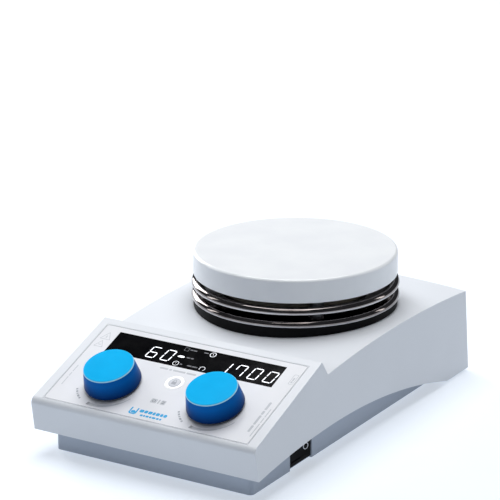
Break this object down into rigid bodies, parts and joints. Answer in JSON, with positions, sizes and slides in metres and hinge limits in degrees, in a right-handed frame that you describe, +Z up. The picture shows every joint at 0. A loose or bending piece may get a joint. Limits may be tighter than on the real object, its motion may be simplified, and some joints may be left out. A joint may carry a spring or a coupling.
{
  "type": "hotplate magnetic stirrer",
  "caption": "Benchtop magnetic stirrer: cast housing with a sloping control console, round coated hot plate on polished heat shields, motor-driven magnet inside.",
  "frame": {"origin": "centre of the footprint, on the table surface under the rubber feet", "axes": "+Z up, +Y to the rear, the control console faces -Y, +X to the operator's right"},
  "size_m": [0.191, 0.3265, 0.114],
  "materials": {
    "housing_white": "fine textured powder coat, satin",
    "pan_grey": "powder coat, satin",
    "overlay_film": "printed polyester film",
    "window_black": "polished black acrylic",
    "board_green": "solder resist",
    "inner_black": "moulded",
    "steel": "zinc plated",
    "knob_blue": "satin moulded",
    "inner_ivory": "moulded",
    "button_grey": "satin moulded",
    "ring_light": "translucent light guide",
    "plate_coat": "white ceramic coat on cast aluminium",
    "heater": "pressed mica and foil",
    "insulation": "fibre board",
    "shield_chrome": "mirror polished",
    "gasket_black": "moulded silicone",
    "foot_rubber": "moulded",
    "copper": "enamelled winding wire",
    "motor_grey": "painted",
    "magnet": "nickel plated",
    "carrier": "turned",
    "socket_black": "moulded",
    "switch_black": "moulded",
    "contact": "plated",
    "glass_tube": "clear",
    "component_mix": "taped winding and cases"
  },
  "bodies": {
    "base": {"upper_housing": "housing_white", "base_pan": "pan_grey", "panel_overlay": "overlay_film", "display_window": "window_black", "display_board": "board_green", "digit_modules": "inner_black", "board_screws": "steel", "heat_encoder": "motor_grey", "speed_encoder": "motor_grey", "encoder_nuts": "steel", "light_ring": "ring_light", "button_switch": "inner_black", "hot_plate": "plate_coat", "heating_element": "heater", "insulation_disc": "insulation", "clamp_plate": "steel", "clamp_screw": "steel", "plate_sensor": "contact", "heater_leads": "inner_ivory", "upper_shield": "shield_chrome", "lower_shield": "shield_chrome", "upper_spacers": "steel", "lower_spacers": "steel", "seat_ring": "gasket_black", "post_screws": "steel", "motor_can": "motor_grey", "motor_end_cap": "motor_grey", "motor_windings": "copper", "motor_bearings": "steel", "motor_bracket": "steel", "bracket_screws": "steel", "motor_screws": "steel", "power_board": "board_green", "power_components": "component_mix", "power_board_screws": "steel", "switch_frame": "switch_black", "power_inlet": "socket_black", "inlet_pins": "contact", "inlet_screws": "steel", "probe_socket": "steel", "probe_nut": "steel", "rod_socket": "steel", "rubber_feet": "foot_rubber", "housing_screws": "steel"},
    "heat_push": {"heat_push_plunger": "inner_ivory"},
    "heat_turn": {"heat_knob": "knob_blue", "heat_encoder_shaft": "steel"},
    "speed_push": {"speed_push_plunger": "inner_ivory"},
    "speed_turn": {"speed_knob": "knob_blue", "speed_encoder_shaft": "steel"},
    "lock_key": {"lock_button": "button_grey"},
    "power_rocker": {"switch_rocker": "switch_black"},
    "magnet_spindle": {"motor_rotor": "steel", "magnet_carrier": "carrier", "drive_magnets": "magnet"},
    "fuse_tray": {"fuse_drawer": "socket_black", "fuses": "glass_tube"}
  },
  "joints": [
    {"name": "heat_press", "type": "slide", "parent": "base", "child": "heat_push", "axis": [0, 0.3453, -0.9385], "range_m": [0, 0.0005], "stiffness_N_per_m": 4000, "springref_m": -0.0005},
    {"name": "heat_dial", "type": "hinge", "parent": "heat_push", "child": "heat_turn", "pos_m": [-0.0435, -0.1324, 0.055], "axis": [0, -0.3453, 0.9385], "continuous": true},
    {"name": "speed_press", "type": "slide", "parent": "base", "child": "speed_push", "axis": [0, 0.3453, -0.9385], "range_m": [0, 0.0005], "stiffness_N_per_m": 4000, "springref_m": -0.0005},
    {"name": "speed_dial", "type": "hinge", "parent": "speed_push", "child": "speed_turn", "pos_m": [0.0435, -0.1324, 0.055], "axis": [0, -0.3453, 0.9385], "continuous": true},
    {"name": "lock_press", "type": "slide", "parent": "base", "child": "lock_key", "axis": [0, 0.3453, -0.9385], "range_m": [0, 0.0005], "stiffness_N_per_m": 3000, "springref_m": -0.0005},
    {"name": "power_rock", "type": "hinge", "parent": "base", "child": "power_rocker", "pos_m": [0.0789, -0.08365, 0.0146], "axis": [0, 0, 1], "range_deg": [0, 14]},
    {"name": "magnet_spin", "type": "hinge", "parent": "base", "child": "magnet_spindle", "pos_m": [0, 0.048, 0.08], "axis": [0, 0, 1], "continuous": true},
    {"name": "fuse_tray_slide", "type": "slide", "parent": "base", "child": "fuse_tray", "axis": [0, 1, 0], "range_m": [0, 0.022]}
  ]
}
